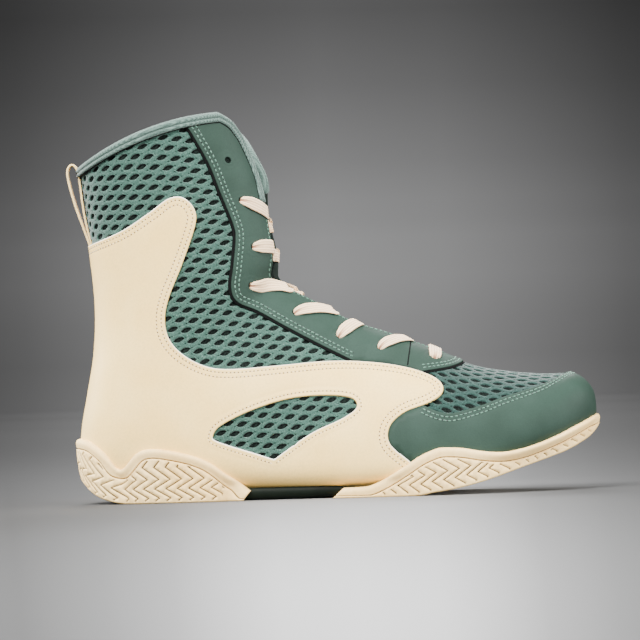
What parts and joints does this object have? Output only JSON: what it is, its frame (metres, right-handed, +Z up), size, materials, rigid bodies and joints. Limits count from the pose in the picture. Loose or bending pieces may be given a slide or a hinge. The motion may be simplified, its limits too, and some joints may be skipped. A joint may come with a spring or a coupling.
{
  "type": "boxing shoe",
  "caption": "High-cut laced boxing shoe for the right foot: open mesh upper with sewn panels, collar binding, heel pull loop and a split rubber sole that climbs the toe and heel",
  "frame": {"origin": "centre of the bounding box on the floor the shoe stands on", "axes": "+X towards the toe, +Y towards the inner side of the foot, +Z up"},
  "size_m": [0.2882, 0.0966, 0.2145],
  "materials": {
    "mesh_green": "open knitted mesh",
    "cream_synthetic": "smooth synthetic, satin",
    "sage_synthetic": "smooth synthetic, matte",
    "teal_binding": "woven tape",
    "cream_rubber": "moulded, matte",
    "dark_arch": "moulded, matte",
    "dark_lining": "brushed lining",
    "loop_tape": "woven tape",
    "lace_cotton": "flat woven lace"
  },
  "bodies": {
    "root": {"upper": "mesh_green", "tongue": "mesh_green", "saddle": "cream_synthetic", "toe_cap": "sage_synthetic", "eyestay": "sage_synthetic", "collar_binding": "teal_binding", "outsole_heel": "cream_rubber", "outsole_forefoot": "cream_rubber", "arch_sole": "dark_arch", "insole": "dark_lining", "pull_loop": "loop_tape", "lace_bar": "lace_cotton", "lace_cross_1": "lace_cotton", "lace_cross_2": "lace_cotton", "lace_cross_3": "lace_cotton", "lace_cross_4": "lace_cotton", "lace_cross_5": "lace_cotton", "lace_cross_6": "lace_cotton"}
  },
  "joints": []
}
